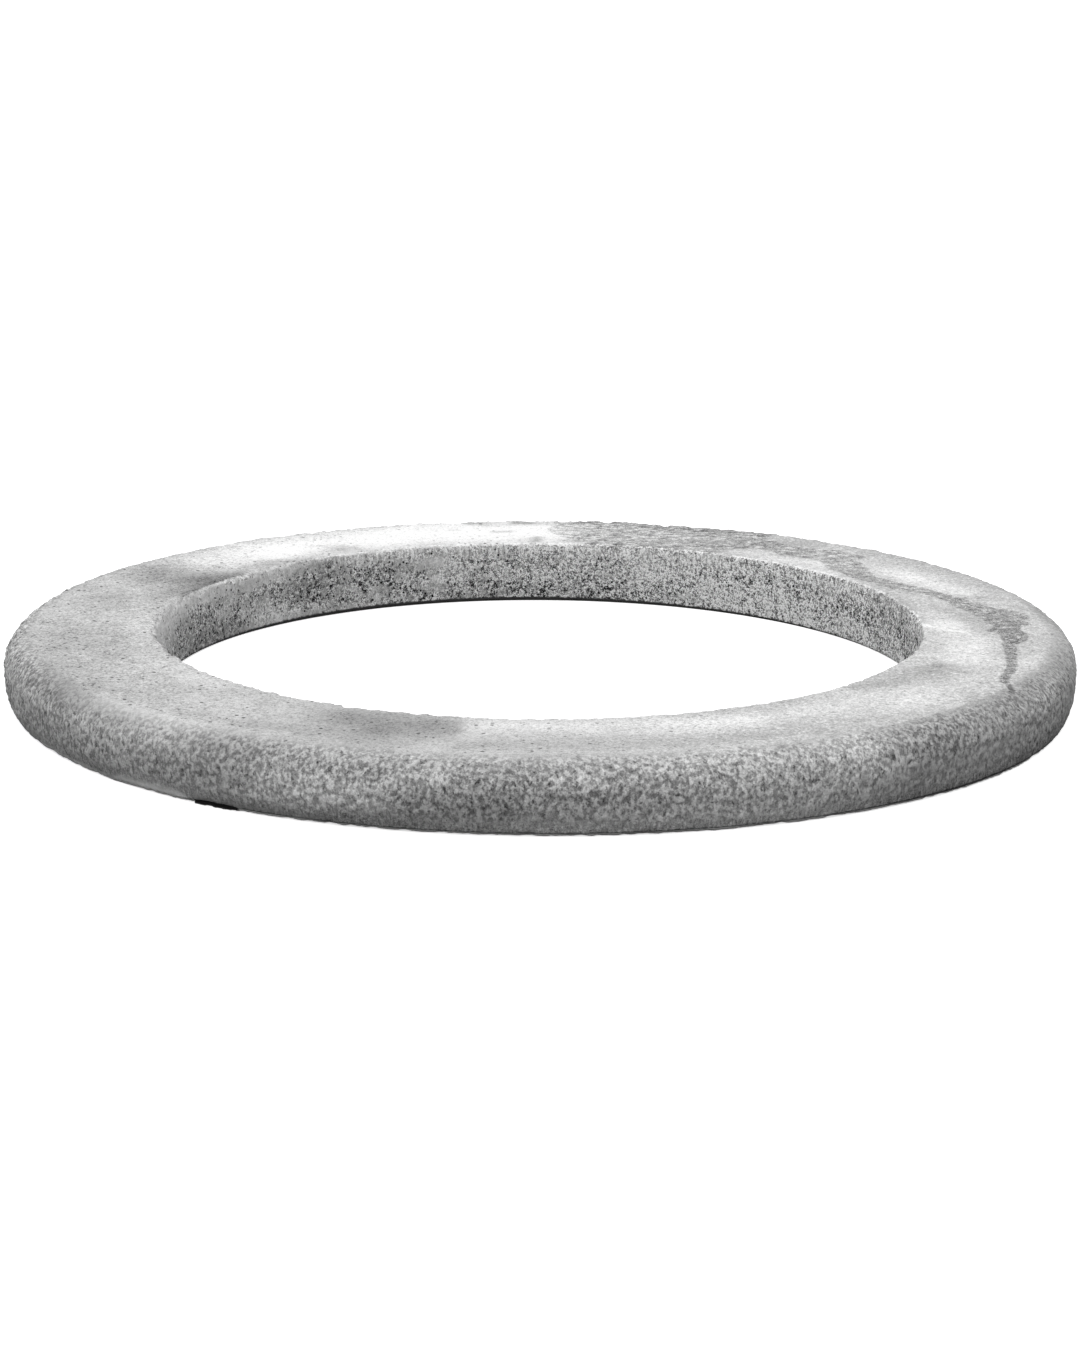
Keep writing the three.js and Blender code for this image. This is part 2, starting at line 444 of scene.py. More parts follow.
# Soft stains: how much they lighten (+) or darken (-), then a route of x, y and reach.
SOFT_STAINS = [
    # the bloom at the back left
    (+0.28, [(-20, 441, 60), (-120, 431, 60), (-220, 376, 60), (-270, 331, 55)]),
    (+0.12, [(-330, 300, 60), (-350, 265, 45)]),
    # dark stains beside it
    (-0.14, [(-405, 215, 38), (-395, 180, 38), (-360, 180, 30)]),
    (-0.12, [(-322, 212, 16), (-345, 185, 20), (-368, 144, 20), (-385, 99, 18)]),
    (-0.13, [(-205, 338, 16), (-245, 318, 22), (-255, 290, 24), (-290, 255, 22)]),
    (-0.12, [(-250, 352, 10), (-222, 346, 12)]),
    (-0.05, [(-215, 370, 30), (-230, 395, 30)]),
    (-0.02, [(-345, 200, 50), (-395, 230, 40)]),
    (-0.09, [(-352, 150, 10), (-368, 112, 9)]),
    (-0.12, [(-318, 206, 7), (-343, 160, 7), (-363, 104, 8)]),
    # the left
    (-0.05, [(-440, 89, 26), (-445, 44, 24)]),
    (+0.06, [(-388, 18, 22), (-392, -42, 22)]),
    (-0.05, [(-460, -62, 40), (-420, -133, 34), (-410, -163, 30)]),
    (-0.02, [(-430, 0, 40), (-420, -110, 40)]),
    (-0.05, [(-470, -120, 14), (-440, -205, 14)]),
    (+0.05, [(-440, -152, 20), (-432, -175, 16)]),
    # the front left
    (+0.07, [(-395, -315, 18), (-340, -365, 22), (-270, -411, 18)]),
    (-0.06, [(-452, -190, 26), (-398, -286, 26), (-335, -357, 24), (-266, -410, 20)]),
    (+0.05, [(-350, -195, 22), (-330, -215, 22)]),
    (+0.07, [(-318, -243, 16), (-295, -262, 14)]),
    (-0.08, [(-250, -406, 14), (-190, -426, 14), (-140, -431, 18)]),
    (-0.05, [(-205, -440, 14), (-130, -468, 14)]),
    (+0.03, [(-110, -385, 18), (-90, -388, 18)]),
    # the front
    (+0.10, [(-45, -401, 26), (20, -407, 26), (100, -402, 26), (180, -382, 24)]),
    (-0.05, [(-60, -467, 20), (60, -462, 20), (170, -437, 20), (240, -407, 16)]),
    (+0.04, [(130, -385, 40), (260, -315, 40), (340, -225, 40)]),
    # the front right
    (+0.06, [(230, -347, 26), (310, -317, 34), (340, -297, 30)]),
    (-0.11, [(372, -181, 14), (352, -211, 18), (325, -238, 18), (290, -261, 16)]),
    (-0.05, [(255, -291, 14), (200, -332, 14), (120, -369, 10)]),
    (+0.05, [(330, -330, 28), (400, -260, 28), (470, -150, 28)]),
    (-0.04, [(280, -400, 14), (374, -314, 14), (442, -206, 14)]),
    # the right, with a thin white line
    (+0.09, [(405, -14, 22), (410, -85, 28), (400, -156, 26)]),
    (-0.07, [(430, 26, 26), (435, -9, 20)]),
    (+0.04, [(395, 30, 24), (395, -20, 24)]),
    (+0.04, [(395, 0, 18), (395, 25, 18)]),
    (+0.04, [(425, -90, 16), (410, -140, 16)]),
    (-0.07, [(381, 14, 8), (383, -4, 8)]),
    (-0.10, [(372, 60, 7), (360, 106, 7)]),
    (+0.14, [(378, -10, 2.2), (392, -27, 2.6), (412, -42, 3)]),
    # the back right
    (+0.12, [(375, 233, 20), (400, 192, 24), (430, 137, 22)]),
    (-0.05, [(385, 329, 30), (430, 248, 30), (455, 187, 26)]),
    (+0.08, [(225, 329, 14), (285, 273, 18), (300, 233, 16)]),
    (+0.04, [(395, 215, 45), (300, 330, 45)]),
    (-0.08, [(235, 385, 34), (290, 371, 30)]),
    (-0.07, [(175, 455, 24), (235, 425, 20)]),
    (+0.08, [(243, 404, 18), (225, 425, 14)]),
    (+0.05, [(311, 278, 16), (300, 290, 14)]),
    # the back, with small dark marks
    (+0.06, [(60, 440, 50), (150, 420, 50), (240, 380, 40)]),
    (-0.05, [(40, 492, 14), (120, 478, 14)]),
    (-0.24, [(-54, 437, 6), (-36, 438, 7)]),
    (-0.26, [(-30, 487, 6), (-14, 488, 7)]),
    (-0.20, [(-86, 491, 6), (-74, 491, 6)]),
    (-0.20, [(-7, 385, 6), (-5, 404, 8)]),
    (-0.14, [(-104, 446, 6), (-96, 446, 6)]),
    (-0.07, [(-70, 478, 12), (0, 482, 12)]),
    (-0.06, [(-80, 481, 9), (-66, 484, 9)]),
]
# Where the damp stain's edge is soft: x, y, reach, and how much crispness is lost.
SOFT_EDGES = [(135, 330, 50, 0.85), (203, 338, 26, 0.85)]
# The front patch is soft but for one nearly straight edge at its right, between two values of x.
FRONT_PATCH = (-0.19, [(-165, -381, 34), (-120, -401, 42), (-95, -406, 40)])
FRONT_PATCH_EDGE = (-74, -62)
DAMP_LIMIT = 30  # the greatest depth that is kept, inside and outside the damp stain
STAIN_FADE = 20  # how far down the nose the soft stains fade out


def nearest_on(x, y, x0, y0, x1, y1):
    """Where along a stretch the nearest place to each point is, 0 to 1, and how far away."""
    ex, ey = x1 - x0, y1 - y0
    t = np.clip(((x - x0) * ex + (y - y0) * ey) / (ex * ex + ey * ey), 0, 1)
    return t, np.hypot(x - x0 - t * ex, y - y0 - t * ey)


def outline_depth(x, y, outline):
    """How far inside the outline each point lies; negative outside."""
    nearest = np.full(len(x), np.inf)
    inside = np.zeros(len(x), bool)
    for (x0, y0), (x1, y1) in zip(outline, outline[1:] + outline[:1]):
        nearest = np.minimum(nearest, nearest_on(x, y, x0, y0, x1, y1)[1])
        if y1 != y0:
            inside ^= ((y0 > y) != (y1 > y)) & (x < x0 + (y - y0) * (x1 - x0) / (y1 - y0))
    return np.where(inside, nearest, -nearest)


def along_route(x, y, route):
    """For each stretch of a route: the distance to it, and the route's reach there."""
    for (x0, y0, w0), (x1, y1, w1) in zip(route, route[1:]):
        t, gap = nearest_on(x, y, x0, y0, x1, y1)
        yield gap, w0 + (w1 - w0) * t


def soft_stain(x, y, route):
    share = np.zeros(len(x))
    for gap, reach in along_route(x, y, route):
        share = np.maximum(share, np.exp(-((gap / reach) ** 2)))
    return share


def top_stains(points):
    """Depth into the damp stain, in millimetres, and soft shade at each point."""
    x, y = points[:, 0] / MM, points[:, 1] / MM
    damp = outline_depth(x, y, DAMP_OUTLINE)
    for gap, reach in along_route(x, y, DAMP_RUN):
        damp = np.maximum(damp, reach - gap)
    for x0, y0, reach, loss in SOFT_EDGES:
        damp = damp * (1 - loss * np.exp(-(((x - x0) ** 2 + (y - y0) ** 2) / reach ** 2)))
    shade = sum(amount * soft_stain(x, y, route) for amount, route in SOFT_STAINS)
    amount, route = FRONT_PATCH
    shade += amount * soft_stain(x, y, route) * (1 - smooth_step(*FRONT_PATCH_EDGE, x))
    return np.clip(damp, -DAMP_LIMIT, DAMP_LIMIT), shade


# -------- patches on the upright faces

# Each: amount, angles from and to in degrees, heights from and to in millimetres. A list starts
# with how soft its patches' limits are, in degrees and millimetres, and then goes round the ring.
# An angle below 0 or above 360 means that the patch doesn't soften at 0.
# how much the outside is lighter (+) or darker (-); partly stains, and partly painted light and
# shade: as a whole the left is lighter and the right darker, as light from the front left falls,
# the patches darkening the lowest millimetres, under the pale patch left of the base's spall and
# from 300 to 346 degrees, are painted contact shadow, and the dark one low over the spall is
# painted shade of its spalled face
SIDE_SHADES = (4, 6), [
    (-0.07, 0, 10, 54, 66), (-0.03, 190, 208, -10, 12), (+0.03, 192, 236, 33, 48),
    (-0.04, 200, 220, 52, 68), (-0.05, 204, 226, -10, 16), (-0.035, 204, 244, 51, 63),
    (-0.03, 205, 214, 50, 62), (-0.10, 208, 231, -10, 1), (+0.07, 213, 226, 32, 44),
    (+0.05, 214, 236, 62, 75), (+0.08, 216, 235, 46, 62), (-0.07, 218, 229, 0, 8),
    (-0.02, 222, 256, 50, 60), (-0.12, 234.8, 252, 1, 9), (-0.05, 236, 246, -10, 12),
    (+0.05, 240, 256, 14, 42), (+0.04, 240, 256, 33, 48), (+0.06, 244, 255, 20, 43),
    (+0.04, 244, 258, 20, 42), (-0.06, 250, 257, 4, 18), (+0.11, 257, 261, 40, 51),
    (-0.06, 257, 267, 4, 18), (-0.15, 260.5, 267.5, 19, 31), (+0.04, 266, 296, -10, 12),
    (+0.09, 271, 275.5, 44, 54), (+0.05, 282, 304, 12, 46), (+0.07, 285, 290, 57, 66),
    (+0.05, 288, 306, 34, 56), (+0.07, 296, 302, 52, 61), (-0.03, 298, 305, -10, 12),
    (-0.08, 298, 305, 8, 20), (-0.08, 300, 346, -10, 5), (+0.10, 301, 306, 28, 40),
    (+0.11, 301, 307, 54, 63), (-0.05, 303, 346, 56, 72), (-0.06, 303, 348, 44, 64),
    (-0.13, 304, 346, -10, 14), (-0.05, 305, 342, 10, 24), (-0.08, 307, 314, 17, 30),
    (-0.11, 308, 314, 37, 50), (-0.04, 314, 348, 14, 44), (-0.04, 323, 334, 6, 18),
    (+0.07, 326, 334, 46, 58), (+0.05, 335, 344, 52, 64),
]
# where its lumps are smoothed over
SIDE_SMOOTH = (0.6, 2), [
    (1.0, 208, 234.2, -5, 5), (0.8, 224, 233.8, 3, 9), (0.7, 235.0, 250, 0, 8),
]
# where its mottling is fainter (+) or stronger (-)
SIDE_CALM = (6, 8), [
    (-0.6, 150, 208, 50, 90), (-0.45, 178, 194, 0, 48), (0.35, 190, 242, -10, 80),
    (-0.25, 193, 208, 8, 46), (0.40, 208, 227, 55, 80), (-0.12, 212, 232, 14, 46),
    (0.25, 246, 276, 2, 24), (0.15, 270, 304, -10, 30), (-0.50, 274, 297, 61, 80),
    (-0.55, 300, 336, 61, 80), (0.55, 302, 322, -10, 34), (0.18, 302, 326, 24, 56),
    (0.25, 318, 366, -10, 80), (0.20, 320, 366, -10, 40), (0.50, -20, 16, -10, 80),
    (0.25, 340, 366, -10, 80),
]
# the same three for the bore
BORE_CALM = (4, 5), [
    (-0.12, 8, 60, -5, 62), (0.30, 58, 88, 54, 68), (-0.55, 66, 78, -5, 24),
    (-0.40, 84, 97, -5, 44), (0.35, 96, 142, 51, 68), (0.50, 143, 158, 44, 58),
    (0.22, 143, 167, -5, 36), (-0.45, -6, 66, -5, 44),
]
# partly stains, and partly painted light and shade: as a whole the bore's right is lighter and its
# left darker, as light from the front left falls
BORE_SHADES = (4, 5), [
    (+0.075, 8, 64, -5, 26), (-0.06, 12, 26, 34, 56), (+0.045, 14, 64, -5, 11),
    (+0.05, 16, 26, -2, 8), (+0.07, 24, 74, -5, 58), (+0.06, 30, 106, 50, 75),
    (-0.04, 40, 47, 54, 65), (+0.05, 43, 59, 0, 30), (-0.05, 44, 58, 36, 60),
    (+0.09, 47, 56, 30, 50), (+0.06, 50, 58, 8, 20), (+0.035, 54, 86, 32, 58),
    (-0.04, 66, 118, -5, 22), (-0.05, 72, 80, 52, 62), (+0.04, 76, 80, 12, 24),
    (+0.05, 80, 85, 50, 62), (-0.05, 84, 106, 4, 26), (+0.05, 98, 103, 28, 42),
    (+0.08, 106.8, 111.3, 38, 53), (-0.05, 109, 118, 36, 47), (-0.12, 112, 116, 36, 52),
    (-0.06, 114, 142, 18, 46), (-0.05, 123, 129, 30, 45), (-0.06, 123, 132, 46, 57),
    (-0.06, 124, 136, -5, 75), (-0.06, 126, 131, 42, 56), (-0.05, 126, 134, 56, 75),
    (-0.065, 128, 170, 24, 46), (+0.04, 132, 146, -5, 20), (-0.04, 136, 146, 32, 44),
    (-0.04, 144, 174, -5, 20), (-0.05, 146, 164, -5, 20), (-0.08, 147, 172, -5, 24),
    (+0.04, 150, 184, 51, 75), (-0.05, 153, 161, 6, 17), (-0.04, 154, 168, 34, 46),
    (-0.06, 154, 176, -5, 38), (-0.08, 157, 171, 62, 75), (+0.05, 164, 190, 44, 58),
    (+0.04, -2, 6, 40, 52),
]
BORE_SMOOTH = (1.5, 3), [
    (0.6, 62, 70, 6, 16), (0.85, 106.8, 111.3, 38, 53), (0.6, 122, 150, 3, 10),
    (0.6, 129, 145, 50, 64), (0.6, 143, 157, 45, 58), (0.8, 152, 168, 53, 75),
    (0.85, 164, 190, 40, 75), (0.5, 170, 192, 26, 40),
]


def patchwork(points, patch_list):
    """Sum of the patches' amounts at each point."""
    (soft_angle, soft_height), patches = patch_list
    angle = np.degrees(np.arctan2(points[:, 1], points[:, 0])) % 360
    height = points[:, 2] / MM
    total = np.zeros(len(points))
    for amount, a0, a1, h0, h1 in patches:
        share = smooth_step(a0 - soft_angle, a0 + soft_angle, angle)
        share *= 1 - smooth_step(a1 - soft_angle, a1 + soft_angle, angle)
        share *= smooth_step(h0 - soft_height, h0 + soft_height, height)
        share *= 1 - smooth_step(h1 - soft_height, h1 + soft_height, height)
        total += amount * share
    return total


def section_place(points):
    """Where on the section each point is, in millimetres: how far past the start of the nose,
    measured along the surface towards the base, and how far down the bore."""
    radius = np.hypot(points[:, 0], points[:, 1])
    out = radius - (OUTER_RADIUS - NOSE_RADIUS)
    rise = points[:, 2] - (THICKNESS - NOSE_RADIUS)
    turn = np.clip(np.arctan2(out, rise), 0, math.pi / 2)
    past_nose = NOSE_RADIUS * turn + np.clip(-rise, 0, 1)
    drop = np.where(out > 0, past_nose, out) / MM
    inside = BORE_RADIUS - radius + ARRIS_IN_BORE
    down = np.where(inside > 0, THICKNESS - points[:, 2], inside) / MM
    return drop, down


# -------- the mesh

def surface_values(places):
    """What the material needs to know about each swept place."""
    damp, top_shade = top_stains(places)
    drop, down = section_place(places)

    def by_face(side_list, bore_list):
        on_side = np.where(drop > 0, patchwork(places, side_list), 0)
        return on_side + np.where(down > 0, patchwork(places, bore_list), 0)

    shade = np.where(down > 0, 0, top_shade * (1 - smooth_step(0, STAIN_FADE, drop)))
    return {
        "damp": damp,
        "drop": drop,
        "down": down,
        "shade": shade + by_face(SIDE_SHADES, BORE_SHADES),
        "smooth": by_face(SIDE_SMOOTH, BORE_SMOOTH),
        "calm": by_face(SIDE_CALM, BORE_CALM),
    }


def ring_mesh():
    points, normals, zones, rows, quads, triangles = swept_grid()
    places = points.copy()
    relief, shadowed_spall = roughen(points, normals, zones)
    swept = len(points)
    points, sunk, hole_faces = cut_holes(points, rows, quads)
    faces = list(quads.values()) + triangles + hole_faces
    mesh = bpy.data.meshes.new("culvert_ring_casting")
    mesh.from_pydata(points.tolist(), [], faces)
    mesh.polygons.foreach_set("use_smooth", np.ones(len(mesh.polygons), bool))

    # the blowholes' points have no swept place, so their own stands for it
    values = surface_values(np.vstack([places, points[swept:]]))
    values["relief"] = np.concatenate([relief, np.zeros(len(sunk))])
    values["spall_shadow"] = np.concatenate([shadowed_spall, np.zeros(len(sunk))])
    values["sunk"] = np.concatenate([np.zeros(swept), sunk])
    for name, value in values.items():
        layer = mesh.attributes.new(name, "FLOAT", "POINT")
        layer.data.foreach_set("value", value.astype(np.float32))
    return mesh


# -------- the concrete

# Tones run from 0, black, to 1, white, as the eye sees them. The share of light that the
# concrete gives back is its tone to this power.
TONE_POWER = 2.2
DARKEST, PALEST = 0.05, 0.98
TOP_TONE_LEFT, TOP_TONE_RIGHT = 0.774, 0.764
# painted shade in the top's small pits
PIT_SHADE_TONE = 0.28
WET_TONE = 0.63
FOOT_TONE = 0.73
# smooth patches on the outside: pale left of the base's spall, and darker from there on, which is
# painted shade of the spalled face
PALE_SKIN_TONE, SHADED_SKIN_TONE = 1.02, 0.80
BORE_SKIN_TONE = 0.92
# painted shade in the bore's pinholes
PINHOLE_SHADE_TONE = 0.12
# painted shade inside the blowholes
BLOWHOLE_SHADE_TONE = 0.08
# painted contact shadow: the tone of the dark line along the outer base, and of the lowest
# millimetres under it, which their own shadow darkens
CONTACT_SHADOW_TONE, FOOT_TONE_IN_SHADOW = 0.12, 0.74
# painted contact shadow along the foot of the bore
BORE_CONTACT_SHADOW_TONE = 0.28
SPALL_LEFT = -300 * MM  # where the base's spall starts
# painted shadow of the base's spall: grey on the skirt in front of it, black in the spall
SKIRT_SHADOW_TONE, SPALL_SHADOW_TONE = 0.34, 0.06
TOP_ROUGHNESS, SIDE_ROUGHNESS = 0.8, 0.92
SHEEN = 0.3


class Graph:
    """Adds nodes to a material or a world, and links them."""

    def __init__(self, owner):
        owner.use_nodes = True
        self.tree = owner.node_tree
        self.tree.nodes.clear()

    def add(self, kind, inputs, **settings):
        made = self.tree.nodes.new("ShaderNode" + kind)
        for key, value in settings.items():
            setattr(made, key, value)
        for key, value in inputs.items():
            if isinstance(value, bpy.types.NodeSocket):
                self.tree.links.new(value, made.inputs[key])
            else:
                made.inputs[key].default_value = value
        return made

    def math(self, operation, a, b=0.0):
        return self.add("Math", {0: a, 1: b}, operation=operation).outputs[0]

    def plus(self, *values):
        total = values[0]
        for value in values[1:]:
            total = self.math("ADD", total, value)
        return total

    def minus(self, a, b):
        return self.math("SUBTRACT", a, b)

    def times(self, a, b):
        return self.math("MULTIPLY", a, b)

    def spread(self, texture, amount=1.0):
        """The texture's departure from its middle, times the amount."""
        return self.times(self.minus(texture, 0.5), amount)

    def mix(self, share, a, b):
        return self.add("Mix", {0: share, 2: a, 3: b}, data_type="FLOAT").outputs[0]

    def ramp(self, value, low, high, out_low=0.0, out_high=1.0):
        inputs = {0: value, 1: low, 2: high, 3: out_low, 4: out_high}
        return self.add("MapRange", inputs, interpolation_type="SMOOTHSTEP").outputs[0]

    def attribute(self, name):
        return self.add("Attribute", {}, attribute_name=name).outputs["Fac"]

    def surface(self, inputs):
        shader = self.add("BsdfPrincipled", inputs)
        self.add("OutputMaterial", {"Surface": shader.outputs[0]})

    def scaled(self, place, *scales):
        """The place scaled along x, y and z. Patterns on it are longer where a scale is below 1."""
        inputs = {0: place, 1: scales}
        return self.add("VectorMath", inputs, operation="MULTIPLY").outputs[0]

    def noise(self, place, size, detail=2.0, roughness=0.5, distortion=0.0):
        """Noise about 0.5, with lumps of about the given size in millimetres."""
        inputs = {"Vector": place, "Scale": 1 / (size * MM), "Detail": detail}
        inputs |= {"Roughness": roughness, "Distortion": distortion}
        return self.add("TexNoise", inputs).outputs["Fac"]

    def dots(self, place, spacing, radius, share):
        """1 inside dots of up to the given radius, 0 outside. About one dot stands in each cell
        of the given spacing, and only the given share of them is kept. All in millimetres."""
        cells = self.add("TexVoronoi", {"Vector": place, "Scale": 1 / (spacing * MM)})
        pick = self.add("SeparateColor", {0: cells.outputs["Color"]}).outputs[0]
        size = self.ramp(pick, 1 - share, 1.0, 0.0, radius / spacing)
        gap = self.minus(size, cells.outputs["Distance"])
        return self.ramp(gap, -0.02, 0.05)


class Concrete(Graph):
    """The concrete's graph, with the places, attributes and noises that its parts share."""

    def __init__(self, material):
        super().__init__(material)
        self.place = self.add("TexCoord", {}).outputs["Object"]
        split = self.add("SeparateXYZ", {0: self.place})
        self.across, self.away, self.height = (split.outputs[axis] for axis in "XYZ")
        self.damp, self.shade, self.smooth = map(self.attribute, ("damp", "shade", "smooth"))
        self.drop, self.down, self.relief = map(self.attribute, ("drop", "down", "relief"))
        self.sunk, self.calm, self.spall_shadow = map(self.attribute, ("sunk", "calm", "spall_shadow"))

        # from 60 mm wide down to 1 mm
        self.blotch = self.noise(self.place, 60, 3, 0.55)
        self.patch = self.noise(self.place, 20, 3, 0.6)
        self.clump = self.noise(self.place, 9, 2, 0.6)
        self.lump = self.noise(self.place, 3.8, 2, 0.6)
        self.fleck = self.noise(self.place, 2.3, 2, 0.6)
        self.grain = self.noise(self.place, 1.1, 1, 0.5)
        # drawn out upwards, a little or a lot, and from left to right
        self.tall = self.scaled(self.place, 1, 1, 0.8)
        self.lump_tall = self.noise(self.tall, 3.8, 2, 0.6)
        self.fleck_tall = self.noise(self.tall, 2.3, 2, 0.6)
        self.runs = self.noise(self.scaled(self.place, 1, 1, 0.2), 2.4, 2, 0.6)
        self.wisps = self.noise(self.scaled(self.place, 0.3, 1, 1), 4.6, 2, 0.6)

        # where the rough side and the bore start, with ragged edges
        self.side = self.ramp(self.plus(self.drop, self.texture(patch=26, lump=12)), -2, 12)
        self.ragged_down = self.plus(self.down, self.texture(runs=2, lump=1.2, clump=3))
        left_edge = self.ramp(self.across, -0.28, -0.32, 1.7, 2.2)
        right_edge = self.ramp(self.across, 0.02, 0.20, 0.0, -0.8)
        edge = self.plus(left_edge, right_edge)
        self.bore = self.ramp(self.ragged_down, edge, self.plus(edge, 0.6))
        self.left_half = self.ramp(self.across, 0.12, -0.06)

    def texture(self, **amounts):
        """Sum of the named patterns' departures from their middles, each times its amount."""
        return self.plus(*(self.spread(vars(self)[name], amount) for name, amount in amounts.items()))

    def by_half(self, left, right):
        """The first value in the ring's left half, and the second in its right."""
        return self.mix(self.left_half, right, left)


def damp_stain(g):
    """1 inside the damp stain and 0 outside, and the streaks along it."""
    wander = g.noise(g.place, 8, 4, 0.7)
    streaks = g.spread(g.wisps, g.ramp(g.away, 0.22, 0.36, 0.15, 1.0))
    depth = g.plus(g.damp, g.spread(wander, 7), g.spread(g.fleck, 3.5), g.times(streaks, 12))
    return g.ramp(depth, -1.2, 1.2), streaks


def top_tone(g, wet, streaks):
    """Pale skin with dark specks, pits painted dark as their shade, the damp stain on it, and a
    bleached line along the far half of the bore's arris."""
    texture = g.texture(patch=0.16, clump=0.20, lump=0.42, fleck=0.46, grain=0.42)
    texture = g.times(texture, g.ramp(g.across, -0.42, -0.15, 1.50, 1.0))
    # towards the left the pale side of the texture is weaker than its dark side
    pale_share = g.ramp(g.across, -0.05, 0.25, 0.5, 1.0)
    texture = g.math("MINIMUM", texture, g.times(texture, pale_share))
    tone = g.ramp(g.across, -0.05, 0.25, TOP_TONE_LEFT, TOP_TONE_RIGHT)
    tone = g.plus(tone, g.shade, g.spread(g.blotch, 0.14), texture)
    speck = g.ramp(g.noise(g.place, 4.4, 2, 0.7), 0.63, 0.71)
    tone = g.plus(tone, g.times(speck, g.ramp(g.across, -0.45, 0.0, -0.34, -0.22)))
    # pits painted dark, painted shade
    pits = g.times(g.dots(g.place, 7.0, 2.0, 0.38), g.ramp(g.across, -0.3, 0.3, 0.95, 0.3))
    pits = g.times(pits, g.ramp(g.shade, 0.05, 0.20, 1.0, 0.5))
    tone = g.mix(pits, tone, PIT_SHADE_TONE)

    texture = g.texture(patch=0.24, clump=0.64, lump=0.64, fleck=0.66, grain=0.95)
    near_half = g.ramp(g.away, 0.04, -0.08, 0.0, -0.09)
    wet_tone = g.plus(WET_TONE, g.times(g.shade, 0.9), g.times(streaks, 0.84), texture, near_half)
    tone = g.mix(wet, tone, wet_tone)

    bleach = g.times(g.ramp(g.ragged_down, -3.0, -1.5), g.ramp(g.away, -60 * MM, 60 * MM, 0.0, 0.08))
    bleach = g.times(bleach, g.ramp(g.clump, 0.38, 0.52, 0.2, 1.0))
    bleach = g.times(bleach, g.plus(g.ramp(g.across, -0.37, -0.25, 0.0, 1.0), wet))
    return g.plus(tone, bleach)


def side_tone(g, wet):
    """Pale lumps on a dark ground with dark gaps, then a smoother foot and smooth patches."""
    pale = g.ramp(g.plus(g.lump_tall, g.times(g.relief, 0.12)), 0.36, 0.64)
    gap = g.ramp(g.noise(g.tall, 4.6, 1.5, 0.6, 0.5), 0.60, 0.68)
    fine = g.minus(g.ramp(g.across, 0.38, 0.52, 1.0, 1.4), g.times(g.calm, 0.2))
    fine = g.times(fine, g.texture(fleck_tall=0.42, grain=0.30))
    mottle = g.plus(g.spread(pale, 0.30), g.texture(blotch=0.10, patch=0.18, clump=0.22), fine)
    mottle = g.plus(mottle, g.times(gap, -0.22))
    strength = g.minus(1.0, g.times(g.calm, 0.7))
    strength = g.times(g.ramp(g.drop, 2, 40, 0.5, 1.1), strength)
    tone = g.plus(g.ramp(g.drop, 30, 75, 0.69, 0.74), g.shade, g.times(strength, mottle))

    texture = g.texture(runs=0.70, fleck=0.50, grain=0.60, patch=0.12)
    foot_tone = g.plus(FOOT_TONE, g.shade, texture)
    above_foot = g.ramp(g.plus(g.height, g.texture(lump=10 * MM, patch=14 * MM)), 8 * MM, 18 * MM)
    tone = g.mix(above_foot, foot_tone, tone)
    # where the damp stain ends on the nose
    tone = g.minus(tone, g.times(wet, g.ramp(g.drop, 8, 14, 0.16, 0.0)))

    # the smooth patches left of the base's spall are pale, and the one from there on is darker,
    # painted shade of the spalled face over and beside the spall
    before, after = SPALL_LEFT - MM, SPALL_LEFT + MM
    skin_tone = g.ramp(g.across, before, after, PALE_SKIN_TONE, SHADED_SKIN_TONE)
    skin_tone = g.plus(skin_tone, g.shade, g.texture(patch=0.1, fleck=0.14, runs=0.1))
    # painted shade: the outside is darker further down from the nose, as light from overhead would
    # shade it
    tone = g.times(g.mix(g.smooth, tone, skin_tone), g.ramp(g.drop, 0, 58, 1.03, 0.82))
    # painted shade on the left of the upright face and painted light on its right, offsetting the
    # sky's lean to the front left
    upright = g.ramp(g.drop, 4, 30)
    return g.times(tone, g.mix(upright, 1.0, g.ramp(g.across, -0.45, 0.52, 0.945, 1.03)))


def bore_gaps(g, cluster):
    """Dark gaps in clusters, and hair-thin fissures in the left half, as an amount below 0."""
    start, full = g.by_half(0.53, 0.50), g.by_half(0.61, 0.60)
    gap = g.ramp(g.noise(g.place, 5.0, 3, 0.65, 0.6), start, full)
    gap = g.times(gap, g.mix(cluster, g.by_half(-0.08, -0.12), g.by_half(-0.42, -0.48)))
    crease = g.math("ABSOLUTE", g.spread(g.noise(g.place, 8.0, 3, 0.6, 0.9)))
    crease = g.times(g.ramp(crease, 0.016, 0.004), g.mix(cluster, -0.05, -0.30))
    gap = g.plus(gap, g.times(crease, g.by_half(1.0, 0.0)))
    return g.times(g.ramp(g.down, 4, 20, 0.3, 1.0), gap)


